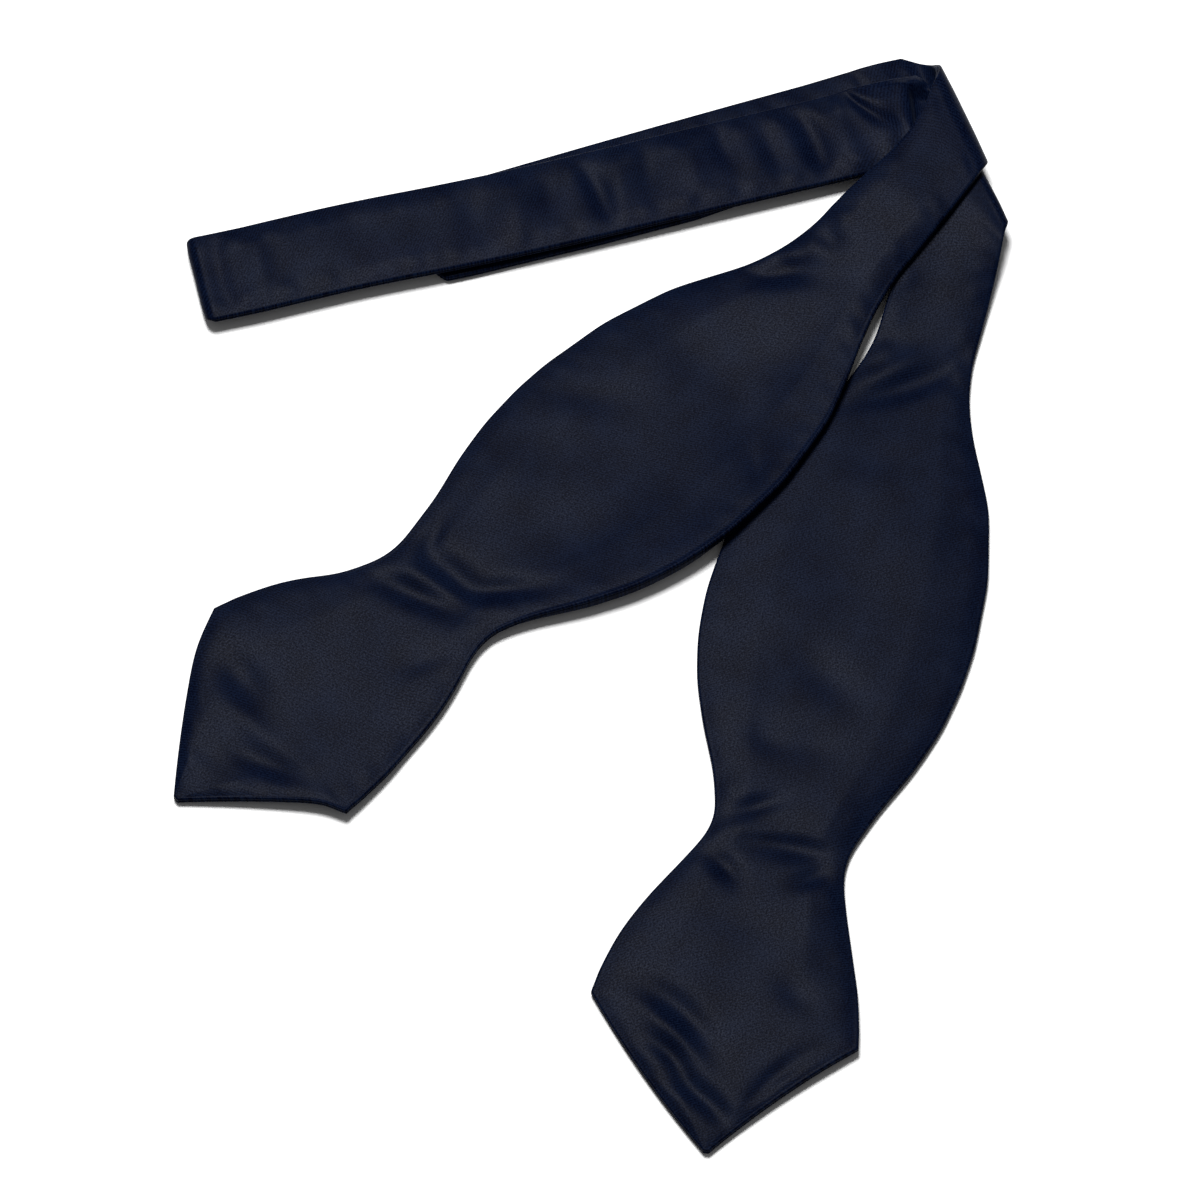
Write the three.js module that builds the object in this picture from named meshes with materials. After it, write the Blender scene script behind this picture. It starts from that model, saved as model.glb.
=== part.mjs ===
// A diamond point bow tie, untied and laid on a table as it is shown for sale. Its neckband is folded in
// half at the centre back, both layers are folded together across the band, and the two shaped blades
// lie spread towards the viewer, the upper blade partly over the lower one.
// The tie is two halves sewn together at the centre back. Each half is one long shaped strip, a face ply
// and a back ply sewn edge to edge, and each ply is a solid of its own.
// Millimetres: the table is z = 0, x goes to the right, y away from the viewer, z up.
import * as THREE from "three";

// Cloth thickness, and the small gaps between what lies on what. RIM_MOST is the most of a half width
// that a rounded rim takes near the tip, and RIM_STEP the share of the rim where its first step is.
const PLY = 1.0;
const PLY_GAP = 0.3;
const LAYER_GAP = 0.4;
const SEAM_GAP = 0.3;
const CROWN = 0.8;
const RIM_WIDTH = 1.6;
const RIM_MOST = 0.4;
const RIM_STEP = 0.25;
const RIM_THICKNESS = 0.4;
const THINNEST = 0.6;

// Outline of a half, the same for both: widths, and distances from the tip of the diamond point.
const BAND_WIDTH = 25.2;
const BULGE_WIDTH = 69;
const WAIST_WIDTH = 34.5;
const DIAMOND_WIDTH = 67;
const TIP_WIDTH = 1.6;
const POINT_LENGTH = 35.2;
const WAIST_FROM_TIP = 88.7;
const BULGE_FROM_TIP = 151;
const BAND_FROM_TIP = 251;

// Lengths of a half from the centre back to the crease and from the crease to the tip. The lower half folds
// over inside the upper one, a little further along the cloth.
const BAND_LENGTH = 195.8;
const BLADE_LENGTH = 290.2;
const LOWER_BAND_MORE = 4.8;
const LOWER_BLADE_MORE = 3.1;

// The centre back: where the neckband is folded in half, and the way it runs from there, in degrees.
const CENTRE_BACK = { x: -100.5, y: 91 };
const SEAM_FROM_BACK = 8;
const STRAP_LENGTH = 56;
const STRAP_INSET = 3;
const STRAP_STEP = 4;
const SHOULDER_OUTSET = 4.2;
const SHOULDER_FADE = 100;

// What is under a layer is counted in layers: one strip of cloth and the gap above it.
const STRIP = 2 * PLY + PLY_GAP;
const LAYER = STRIP + LAYER_GAP;

// The fold at the centre back turns one layer down: its radius, and the cloth that it takes.
const BACK_RADIUS = LAYER / 2;
const BACK_TRAVEL = Math.PI * BACK_RADIUS;

// How the width changes from one named width to the next: way is the share of the distance, done the
// share of the change.
const CORNER_TO_WAIST = [
  { way: 0.1, done: 0.04 },
  { way: 0.3, done: 0.19 },
  { way: 0.5, done: 0.44 },
  { way: 0.7, done: 0.73 },
  { way: 0.88, done: 0.97 },
];
const WAIST_TO_BULGE = [
  { way: 0.2, done: 0.23 },
  { way: 0.4, done: 0.56 },
  { way: 0.6, done: 0.81 },
  { way: 0.8, done: 0.95 },
];
const BULGE_TO_BAND = [
  { way: 0.2, done: 0.06 },
  { way: 0.4, done: 0.28 },
  { way: 0.5, done: 0.5 },
  { way: 0.6, done: 0.73 },
  { way: 0.7, done: 0.9 },
  { way: 0.8, done: 0.99 },
];

// How far the lower layer of the band comes out from under the upper one past its shoulder: at is the
// share of SHOULDER_FADE, out the share of SHOULDER_OUTSET.
const SHOULDER = [
  { at: 0, out: 0.33 },
  { at: 0.4, out: 0.85 },
  { at: 0.65, out: 1 },
  { at: 0.85, out: 0.7 },
  { at: 1, out: 0 },
];

// Both halves. Rows of band are set by at, the share of the way from the centre back to the crease, and
// rows of blade by the share of the way from the crease to the tip. heading is the way the centreline
// runs, in degrees, skew how far a section is turned from square to it, and left, mid and right are
// how many layers the strip lies above the table there. Left is the left edge of the blade as the viewer
// sees it, which is the far edge of the band.
const UPPER = {
  name: "upper_half",
  turnsRoundBack: false,
  bandLength: BAND_LENGTH,
  bladeLength: BLADE_LENGTH,
  crease: -68.4,
  kinkAt: 0.9,
  bandHeading: [
    { at: 0, deg: 13.5 },
    { at: 0.045, deg: 13.5 },
    { at: 0.07, deg: 15.8 },
    { at: 0.15, deg: 15.3 },
    { at: 0.25, deg: 12.5 },
    { at: 0.36, deg: 19 },
    { at: 0.6, deg: 18.4 },
    { at: 0.93, deg: 17.5 },
    { at: 0.975, deg: -16.5 },
    { at: 1, deg: -16.5 },
  ],
  bladeHeading: [
    { at: 0, deg: -120.3 },
    { at: 0.06, deg: -120.3 },
    { at: 0.15, deg: -128.3 },
    { at: 0.26, deg: -131.6 },
    { at: 0.32, deg: -136 },
    { at: 0.45, deg: -136.3 },
    { at: 0.55, deg: -142 },
    { at: 0.65, deg: -140.5 },
    { at: 0.7, deg: -134 },
    { at: 0.75, deg: -134.5 },
    { at: 0.8, deg: -145 },
    { at: 0.88, deg: -144 },
    { at: 0.9, deg: -137 },
    { at: 1, deg: -133 },
  ],
  bandSkew: [
    { at: 0, deg: 0 },
    { at: 0.9, deg: 0 },
    { at: 0.975, deg: 38.1 },
    { at: 1, deg: 38.1 },
  ],
  bladeSkew: [
    { at: 0, deg: 38.1 },
    { at: 0.06, deg: 38.1 },
    { at: 0.16, deg: 0 },
    { at: 0.5, deg: 0 },
    { at: 0.7, deg: 5 },
    { at: 0.88, deg: 7 },
    { at: 1, deg: 7 },
  ],
  bandLift: [
    { at: 0, left: 0, mid: 0, right: 0 },
    { at: 0.84, left: 0, mid: 0, right: 0 },
    { at: 0.95, left: 0.4, mid: 0.2, right: 0 },
    { at: 0.99, left: 0, mid: 0, right: 0 },
    { at: 1, left: 0, mid: 0, right: 0 },
  ],
  bladeLift: [
    { at: 0, left: 3, mid: 3, right: 3 },
    { at: 0.07, left: 3, mid: 3, right: 3 },
    { at: 0.14, left: 2.6, mid: 2.7, right: 2.6 },
    { at: 0.18, left: 2, mid: 2.1, right: 2 },
    { at: 0.23, left: 1.2, mid: 1.4, right: 1.5 },
    { at: 0.28, left: 0.5, mid: 0.8, right: 1.4 },
    { at: 0.33, left: 0, mid: 0.3, right: 1.4 },
    { at: 0.38, left: 0, mid: 0, right: 1.45 },
    { at: 0.5, left: 0, mid: 0, right: 1.5 },
    { at: 0.6, left: 0, mid: 0, right: 1.2 },
    { at: 0.7, left: 0.2, mid: 0, right: 0.5 },
    { at: 0.8, left: 0, mid: 0, right: 0.3 },
    { at: 0.9, left: 0, mid: 0, right: 0.8 },
    { at: 1, left: 0, mid: 0, right: 0 },
  ],
};
const LOWER = {
  name: "lower_half",
  turnsRoundBack: true,
  bandLength: BAND_LENGTH + LOWER_BAND_MORE,
  bladeLength: BLADE_LENGTH + LOWER_BLADE_MORE,
  crease: -67,
  kinkAt: 0.84,
  bandHeading: [
    { at: 0, deg: 13.5 },
    { at: 0.045, deg: 13.5 },
    { at: 0.07, deg: 15.8 },
    { at: 0.15, deg: 15.3 },
    { at: 0.25, deg: 12.5 },
    { at: 0.5, deg: 15.4 },
    { at: 0.9, deg: 15.2 },
    { at: 0.95, deg: -33 },
    { at: 1, deg: -33 },
  ],
  bladeHeading: [
    { at: 0, deg: -101.5 },
    { at: 0.1, deg: -101.5 },
    { at: 0.16, deg: -105 },
    { at: 0.24, deg: -107.2 },
    { at: 0.45, deg: -105 },
    { at: 0.55, deg: -102.2 },
    { at: 0.65, deg: -105.2 },
    { at: 0.72, deg: -108.3 },
    { at: 0.79, deg: -106.8 },
    { at: 0.86, deg: -102.5 },
    { at: 1, deg: -94 },
  ],
  bandSkew: [
    { at: 0, deg: 0 },
    { at: 0.84, deg: 0 },
    { at: 0.95, deg: 56 },
    { at: 1, deg: 56 },
  ],
  bladeSkew: [
    { at: 0, deg: 56 },
    { at: 0.03, deg: 56 },
    { at: 0.15, deg: 0 },
    { at: 0.6, deg: 0 },
    { at: 0.88, deg: 2.5 },
    { at: 1, deg: 2.5 },
  ],
  bandLift: [
    { at: 0, left: 1, mid: 1, right: 1 },
    { at: 0.82, left: 1, mid: 1, right: 1 },
    { at: 0.91, left: 1.5, mid: 1.4, right: 1 },
    { at: 0.96, left: 1.2, mid: 1.1, right: 1 },
    { at: 1, left: 1, mid: 1, right: 1 },
  ],
  bladeLift: [
    { at: 0, left: 2, mid: 2, right: 2 },
    { at: 0.06, left: 2, mid: 2, right: 2 },
    { at: 0.11, left: 1.6, mid: 1.4, right: 1.1 },
    { at: 0.16, left: 0.8, mid: 0.5, right: 0.3 },
    { at: 0.21, left: 0, mid: 0, right: 0 },
    { at: 0.8, left: 0, mid: 0, right: 0 },
    { at: 0.9, left: 0, mid: 0, right: 0.4 },
    { at: 1, left: 0, mid: 0, right: 0 },
  ],
};

// Soft dents (deep over 0) and ridges (deep under 0) of the side that is seen. at is the share from
// crease to tip, across the share of the half width towards the left edge, deep a share of CROWN; long
// and wide are shares of BULGE_WIDTH, and turn is how far the dent is turned from the centreline.
const UPPER_DENTS = [
  { at: 0.27, across: 0.55, turn: 45, long: 0.18, wide: 0.09, deep: 1.0 },
  { at: 0.48, across: 0.65, turn: 50, long: 0.2, wide: 0.08, deep: 0.4 },
  { at: 0.65, across: -0.55, turn: 25, long: 0.14, wide: 0.06, deep: 0.8 },
  { at: 0.68, across: 0.05, turn: 70, long: 0.2, wide: 0.06, deep: 1.1 },
  { at: 0.71, across: 0.05, turn: 70, long: 0.22, wide: 0.05, deep: -0.7 },
  { at: 0.74, across: 0.35, turn: 60, long: 0.14, wide: 0.05, deep: 0.7 },
  { at: 0.92, across: 0.25, turn: 85, long: 0.15, wide: 0.06, deep: 0.7 },
  { at: 0.94, across: -0.6, turn: 55, long: 0.15, wide: 0.06, deep: 0.6 },
];
const LOWER_DENTS = [
  { at: 0.25, across: 0.05, turn: 50, long: 0.24, wide: 0.06, deep: 0.9 },
  { at: 0.55, across: -0.05, turn: -55, long: 0.18, wide: 0.09, deep: 0.5 },
  { at: 0.61, across: 0.4, turn: -60, long: 0.1, wide: 0.07, deep: 0.4 },
  { at: 0.69, across: 0.5, turn: 60, long: 0.12, wide: 0.05, deep: 0.8 },
  { at: 0.71, across: -0.3, turn: 85, long: 0.18, wide: 0.06, deep: 1.0 },
  { at: 0.73, across: 0.1, turn: 90, long: 0.2, wide: 0.05, deep: -0.6 },
  { at: 0.88, across: 0.35, turn: -60, long: 0.15, wide: 0.06, deep: 0.7 },
  { at: 0.92, across: -0.8, turn: 40, long: 0.18, wide: 0.06, deep: 0.6 },
  { at: 0.96, across: -0.25, turn: -45, long: 0.15, wide: 0.06, deep: 0.7 },
];

// How the crown of the upper ply rises: where on the blade it starts and is full, as shares from crease to
// tip, and how flat it stays across the middle of a section before it falls to the edges.
const CROWN_FROM = 0.15;
const CROWN_FULL = 0.4;
const CROWN_FLATNESS = 4;

// How closely the cloth is divided: millimetres between sections in each stretch, steps round a fold and
// along the centreline, and points across a section.
const BAND_STEP = 9;
const BACK_STEP = 4;
const KINK_STEP = 3;
const NECK_STEP = 4.5;
const NECK_SHARE = 0.16;
const BLADE_STEP = 6;
const POINT_STEP = 8.5;
const FOLD_STEPS = 6;
const PATH_STEPS = 600;
const SEEN_COLUMNS = 12;
const INNER_COLUMNS = 5;

const SATIN = { color: 0x1b202e, roughness: 0.62, metalness: 0 };

const radians = THREE.MathUtils.degToRad;
const wayOf = (angle) => new THREE.Vector2(Math.cos(angle), Math.sin(angle));

// Straight-line reading of one column of a table at a given share.
function readRow(rows, at, column) {
  if (at <= rows[0].at) return rows[0][column];
  for (let i = 1; i < rows.length; i++) {
    if (at <= rows[i].at) {
      const share = (at - rows[i - 1].at) / (rows[i].at - rows[i - 1].at);
      return THREE.MathUtils.lerp(rows[i - 1][column], rows[i][column], share);
    }
  }
  return rows[rows.length - 1][column];
}

function readSteps(rows, way) {
  const inner = rows.map((row) => ({ at: row.way, done: row.done }));
  return readRow([{ at: 0, done: 0 }, ...inner, { at: 1, done: 1 }], way, "done");
}

// Half the width of the strip at a distance from the tip of its diamond point.
function halfWidth(fromTip) {
  const stops = [
    { from: POINT_LENGTH, width: DIAMOND_WIDTH, rows: CORNER_TO_WAIST },
    { from: WAIST_FROM_TIP, width: WAIST_WIDTH, rows: WAIST_TO_BULGE },
    { from: BULGE_FROM_TIP, width: BULGE_WIDTH, rows: BULGE_TO_BAND },
    { from: BAND_FROM_TIP, width: BAND_WIDTH, rows: [] },
  ];
  if (fromTip <= POINT_LENGTH) {
    return THREE.MathUtils.lerp(TIP_WIDTH, DIAMOND_WIDTH, Math.max(fromTip, 0) / POINT_LENGTH) / 2;
  }
  for (let i = 0; i < stops.length - 1; i++) {
    const [here, next] = [stops[i], stops[i + 1]];
    if (fromTip <= next.from) {
      const way = (fromTip - here.from) / (next.from - here.from);
      return THREE.MathUtils.lerp(here.width, next.width, readSteps(here.rows, way)) / 2;
    }
  }
  return BAND_WIDTH / 2;
}

// Reads a band table before the crease and a blade table after it.
function readHalf(half, kind, s, column) {
  if (s < half.bandLength) return readRow(half["band" + kind], s / half.bandLength, column);
  return readRow(half["blade" + kind], (s - half.bandLength) / half.bladeLength, column);
}

// The way the strip runs at a distance s from the centre back, in the plane before it is folded over.
function headingAt(half, s) {
  const heading = readHalf(half, "Heading", s, "deg");
  return radians(s < half.bandLength ? heading : 2 * half.crease - heading);
}

// Walks the centreline before it is folded over, and gives its place at any distance s.
function walkCentreline(half) {
  const step = (half.bandLength + half.bladeLength) / PATH_STEPS;
  const places = [new THREE.Vector2(CENTRE_BACK.x, CENTRE_BACK.y)];
  for (let i = 0; i < PATH_STEPS; i++) {
    const way = wayOf(headingAt(half, (i + 0.5) * step));
    places.push(places[i].clone().addScaledVector(way, step));
  }
  return (s) => {
    const i = THREE.MathUtils.clamp(Math.floor(s / step), 0, PATH_STEPS - 1);
    return places[i].clone().lerp(places[i + 1], s / step - i);
  };
}

// How far the right edge of the strap under the centre back is set in from that of the band.
function strapInset(half, s) {
  if (half.turnsRoundBack) return STRAP_INSET * THREE.MathUtils.smoothstep(-s, 0, BACK_TRAVEL);
  const shoulder = STRAP_LENGTH + STRAP_STEP;
  if (s > shoulder) {
    return -SHOULDER_OUTSET * readRow(SHOULDER, (s - shoulder) / SHOULDER_FADE, "out");
  }
  const step = THREE.MathUtils.smoothstep(s, STRAP_LENGTH, shoulder);
  return THREE.MathUtils.lerp(STRAP_INSET, -SHOULDER_OUTSET * SHOULDER[0].out, step);
}

// How many layers lie under the band and under the blade at the crease.
function layersAtCrease(half) {
  return { band: half.bandLift.at(-1).mid, blade: half.bladeLift[0].mid };
}

// The radius at which a half turns over at its crease.
function foldRadiusOf(half) {
  const layers = layersAtCrease(half);
  return (LAYER * (layers.blade - layers.band)) / 2;
}

// Turns a place on the strip into space: s along it, w from -1 at the right edge to 1 at the left, and h
// above its middle surface where the band lies.
function makePlacer(half) {
  const centre = walkCentreline(half);
  const creasePoint = centre(half.bandLength);
  const creaseWay = wayOf(radians(half.crease));
  const outward = new THREE.Vector2(-creaseWay.y, creaseWay.x);
  const backWay = wayOf(headingAt(half, 0));
  const foldRadius = foldRadiusOf(half);
  const layers = layersAtCrease(half);
  const level = LAYER * layers.band + STRIP / 2;

  // At the kink before the crease the far edge of the band turns a corner: it stays on the line that it
  // follows along the band. This is how far off that line is, across a section.
  const kink = half.kinkAt * half.bandLength;
  const kinkPoint = centre(kink);
  const bandHeading = headingAt(half, kink);
  const farEdge = (s, across) => {
    if (s < kink || s > half.bandLength) return Infinity;
    const from = centre(s).sub(kinkPoint);
    const off = from.y * Math.cos(bandHeading) - from.x * Math.sin(bandHeading);
    return (BAND_WIDTH / 2 - off) / Math.sin(across - bandHeading);
  };

  return (s, w, h) => {
    const skew = radians(readHalf(half, "Skew", s, "deg"));
    const across = headingAt(half, s) + Math.PI / 2 + skew;
    const wide = halfWidth(half.bandLength + half.bladeLength - s) / Math.cos(skew);
    const reach = w < 0 ? w * (wide - strapInset(half, s)) : w * Math.min(wide, farEdge(s, across));
    const flat = centre(Math.max(s, 0)).addScaledVector(wayOf(across), reach);
    const place = new THREE.Vector3(flat.x, flat.y, level + h);
    if (s < 0) {
      const turned = -s / BACK_RADIUS;
      const back = turned < Math.PI ? -(BACK_RADIUS + h) * Math.sin(turned) : -s - BACK_TRAVEL;
      place.x += back * backWay.x;
      place.y += back * backWay.y;
      place.z = level - BACK_RADIUS + (BACK_RADIUS + h) * Math.cos(Math.min(turned, Math.PI));
    }
    const fromCrease = flat.clone().sub(creasePoint);
    const past = fromCrease.dot(outward);
    if (s >= half.bandLength && past > 0) {
      const turned = Math.min(past / foldRadius, Math.PI);
      const out = turned < Math.PI ? (foldRadius - h) * Math.sin(turned) : Math.PI * foldRadius - past;
      const along = fromCrease.dot(creaseWay);
      place.x = creasePoint.x + along * creaseWay.x + out * outward.x;
      place.y = creasePoint.y + along * creaseWay.y + out * outward.y;
      place.z = level + foldRadius - (foldRadius - h) * Math.cos(turned);
    }
    const mid = readHalf(half, "Lift", s, "mid");
    const edge = readHalf(half, "Lift", s, w > 0 ? "left" : "right");
    const rest = s < half.bandLength ? layers.band : layers.blade;
    place.z += LAYER * (mid + (edge - mid) * w * w - rest);
    return place;
  };
}

// The dents and ridges of the seen side at a place on a blade.
function dentDepth(half, dents, s, w) {
  const at = (s - half.bandLength) / half.bladeLength;
  if (at <= 0) return 0;
  const wide = halfWidth(half.bandLength + half.bladeLength - s);
  return dents.reduce((sum, dent) => {
    const x = (at - dent.at) * half.bladeLength;
    const y = (w - dent.across) * wide;
    const turn = radians(dent.turn);
    const u = (x * Math.cos(turn) + y * Math.sin(turn)) / (dent.long * BULGE_WIDTH);
    const v = (y * Math.cos(turn) - x * Math.sin(turn)) / (dent.wide * BULGE_WIDTH);
    return sum + dent.deep * CROWN * Math.exp(-u * u - v * v);
  }, 0);
}

// The share of a half width that the rounded rim takes.
function rimShare(wide) {
  return Math.min(RIM_WIDTH / wide, RIM_MOST);
}

// How thick a ply is at a place: rounded along its edges, and crowned where it is the upper one.
function plyThickness(half, dents, seen, s, w) {
  const wide = halfWidth(half.bandLength + half.bladeLength - s);
  const inFromEdge = Math.min((1 - Math.abs(w)) / rimShare(wide), 1);
  const round = Math.sqrt(1 - (1 - inFromEdge) ** 2);
  const rim = RIM_THICKNESS + (PLY - RIM_THICKNESS) * round;
  if (!seen) return rim;
  const at = (s - half.bandLength) / half.bladeLength;
  const crown = CROWN * THREE.MathUtils.smoothstep(at, CROWN_FROM, CROWN_FULL);
  const soft = (crown - dentDepth(half, dents, s, w)) * (1 - w ** CROWN_FLATNESS);
  return rim + Math.max(soft, THINNEST - PLY) * Math.min(1, wide / (BAND_WIDTH / 2));
}

function spread(from, to, step) {
  const count = Math.max(1, Math.round((to - from) / step));
  return Array.from({ length: count }, (_, i) => from + ((to - from) * i) / count);
}

// Where the sections of a half lie, closest where it bends.
function stations(half) {
  const end = half.bandLength + half.bladeLength;
  const foldTravel = (Math.PI * foldRadiusOf(half)) / Math.cos(radians(half.bladeSkew[0].deg));
  const foldEnd = half.bandLength + foldTravel;
  const kink = half.kinkAt * half.bandLength;
  const neckEnd = half.bandLength + NECK_SHARE * half.bladeLength;
  const start =
    half.turnsRoundBack
      ? [
          ...spread(-BACK_TRAVEL - SEAM_FROM_BACK, -BACK_TRAVEL, BACK_STEP),
          ...spread(-BACK_TRAVEL, 0, BACK_TRAVEL / FOLD_STEPS),
          ...spread(0, kink, BAND_STEP),
        ]
      : [
          ...spread(SEAM_FROM_BACK + SEAM_GAP, STRAP_LENGTH, BAND_STEP),
          ...spread(STRAP_LENGTH, STRAP_LENGTH + STRAP_STEP, STRAP_STEP / 2),
          ...spread(STRAP_LENGTH + STRAP_STEP, kink, BAND_STEP),
        ];
  return [
    ...start,
    ...spread(kink, half.bandLength, KINK_STEP),
    ...spread(half.bandLength, foldEnd, foldTravel / FOLD_STEPS),
    ...spread(foldEnd, neckEnd, NECK_STEP),
    ...spread(neckEnd, end - POINT_LENGTH, BLADE_STEP),
    ...spread(end - POINT_LENGTH, end, POINT_STEP),
    end,
  ];
}

// Columns of a section: evenly spaced, and on the outer side of a ply close together over its rims.
function evenly(from, to, count) {
  return Array.from({ length: count }, (_, i) => from + ((to - from) * i) / (count - 1));
}

function seenColumns(wide) {
  const rim = rimShare(wide);
  const first = 1 - rim * RIM_STEP;
  return [-1, -first, ...evenly(rim - 1, 1 - rim, SEEN_COLUMNS - 4), first, 1];
}

// One ply of a half as a closed solid: rings of points round each section, joined, and capped at the ends.
function plyGeometry(half, dents, side) {
  const place = makePlacer(half);
  const seen = side < 0;
  const rings = stations(half).map((s) => {
    const wide = halfWidth(half.bandLength + half.bladeLength - s);
    const outer = seenColumns(wide).map((w) =>
      place(s, w, side * (PLY_GAP / 2 + plyThickness(half, dents, seen, s, w))));
    const inner = evenly(1, -1, INNER_COLUMNS).map((w) => place(s, w, (side * PLY_GAP) / 2));
    return [...outer, ...inner];
  });
  const size = SEEN_COLUMNS + INNER_COLUMNS;
  const positions = rings.flat().flatMap((p) => [p.x, p.y, p.z]);
  const index = [];
  const face = (a, b, c) => index.push(...(side > 0 ? [a, b, c] : [a, c, b]));
  for (let r = 0; r < rings.length - 1; r++) {
    for (let i = 0; i < size; i++) {
      const [a, b] = [r * size + i, r * size + ((i + 1) % size)];
      face(a, b + size, b);
      face(a, a + size, b + size);
    }
  }
  capEnd(0, size, (a, b, c) => face(a, b, c));
  capEnd((rings.length - 1) * size, size, (a, b, c) => face(a, c, b));
  const geometry = new THREE.BufferGeometry();
  geometry.setAttribute("position", new THREE.Float32BufferAttribute(positions, 3));
  geometry.setIndex(index);
  geometry.computeVertexNormals();
  return geometry;
}

// Closes an end ring by stitching its outer row of points to its inner row.
function capEnd(first, size, face) {
  let outer = 0;
  let inner = size - 1;
  while (outer < SEEN_COLUMNS - 1 || inner > SEEN_COLUMNS) {
    const outerShare = outer / (SEEN_COLUMNS - 1);
    const innerShare = (size - 1 - inner) / (INNER_COLUMNS - 1);
    if (inner === SEEN_COLUMNS || (outerShare <= innerShare && outer < SEEN_COLUMNS - 1)) {
      face(first + outer, first + outer + 1, first + inner);
      outer += 1;
    } else {
      face(first + outer, first + inner - 1, first + inner);
      inner -= 1;
    }
  }
}

function makePly(half, dents, name, side) {
  const mesh = new THREE.Mesh(plyGeometry(half, dents, side), new THREE.MeshStandardMaterial(SATIN));
  mesh.name = half.name + "_" + name;
  return mesh;
}

function makeHalf(half, dents) {
  const group = new THREE.Group();
  group.add(makePly(half, dents, "face", -1), makePly(half, dents, "back", 1));
  return group;
}

// The whole tie, moved so that the middle of its outline is over the origin.
function makeBowTie() {
  const tie = new THREE.Group();
  tie.add(makeHalf(UPPER, UPPER_DENTS), makeHalf(LOWER, LOWER_DENTS));
  const middle = new THREE.Box3().setFromObject(tie, true).getCenter(new THREE.Vector3());
  tie.position.set(-middle.x, -middle.y, 0);
  const part = new THREE.Group();
  part.add(tie);
  return part;
}

export default makeBowTie();
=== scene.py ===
"""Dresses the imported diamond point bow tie: an untied, self-tie bow tie in dark navy satin, laid flat.

The four plies of the CAD model are replaced by finer ones made with the same named sizes and tables, with
sewn edges, padding, creases, puckers and a satin weave. Lengths inside the functions are millimetres; a
mesh is put into the frame, in metres, when it is made.
"""
import math

import bpy
import numpy as np
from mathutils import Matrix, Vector


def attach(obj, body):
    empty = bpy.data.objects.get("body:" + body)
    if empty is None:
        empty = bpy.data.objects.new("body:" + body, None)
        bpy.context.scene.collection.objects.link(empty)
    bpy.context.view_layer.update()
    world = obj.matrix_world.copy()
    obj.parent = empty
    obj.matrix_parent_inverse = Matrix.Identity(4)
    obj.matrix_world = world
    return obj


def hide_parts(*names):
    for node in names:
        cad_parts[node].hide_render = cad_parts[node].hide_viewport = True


MM = 0.001

# Cloth: a ply, the gap between the two plies, and the gap between layers that lie on each other.
PLY = 1.0
PLY_GAP = 0.3
LAYER_GAP = 0.4
STRIP = 2 * PLY + PLY_GAP
LAYER = STRIP + LAYER_GAP
BACK_RADIUS = LAYER / 2
BACK_TRAVEL = math.pi * BACK_RADIUS

# Outline of a half: widths, and distances from the tip of the diamond point.
BAND_WIDTH = 25.2
BULGE_WIDTH = 69
WAIST_WIDTH = 34.5
DIAMOND_WIDTH = 67
TIP_WIDTH = 1.6
POINT_LENGTH = 35.2
WAIST_FROM_TIP = 88.7
BULGE_FROM_TIP = 151
BAND_FROM_TIP = 251

# The centre back, the shift that brings the middle of the whole outline over the origin, and the strap
# under the centre back that is a little narrower than the band.
CENTRE_BACK = (-100.5, 91)
SHIFT = (0.8, -2.73)
SEAM_FROM_BACK = 8
SEAM_GAP = 0.3
STRAP_LENGTH = 56
STRAP_INSET = 3
STRAP_STEP = 4
SHOULDER_OUTSET = 4.2
SHOULDER_FADE = 100

# How the width changes between the named widths: share of the distance, share of the change.
CORNER_TO_WAIST = [(0, 0), (0.1, 0.04), (0.3, 0.19), (0.5, 0.44), (0.7, 0.73), (0.88, 0.97), (1, 1)]
WAIST_TO_BULGE = [(0, 0), (0.2, 0.23), (0.4, 0.56), (0.6, 0.81), (0.8, 0.95), (1, 1)]
BULGE_TO_BAND = [(0, 0), (0.2, 0.06), (0.4, 0.28), (0.5, 0.5), (0.6, 0.73), (0.7, 0.9), (0.8, 0.99), (1, 1)]

# How far the left edge of the upper blade is drawn in past its fold: millimetres past it, millimetres in.
TUCK = [(0, 0), (9, 0), (14, 1.6), (20, 3.4), (27, 3.8), (34, 2.8), (41, 1.4), (48, 0.4), (54, 0)]

# How far the band's lower layer comes out from under the upper one past its shoulder: the share of
# SHOULDER_FADE, and the share of SHOULDER_OUTSET.
SHOULDER = [(0, 0.33), (0.4, 0.85), (0.65, 1), (0.85, 0.7), (1, 0)]

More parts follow.
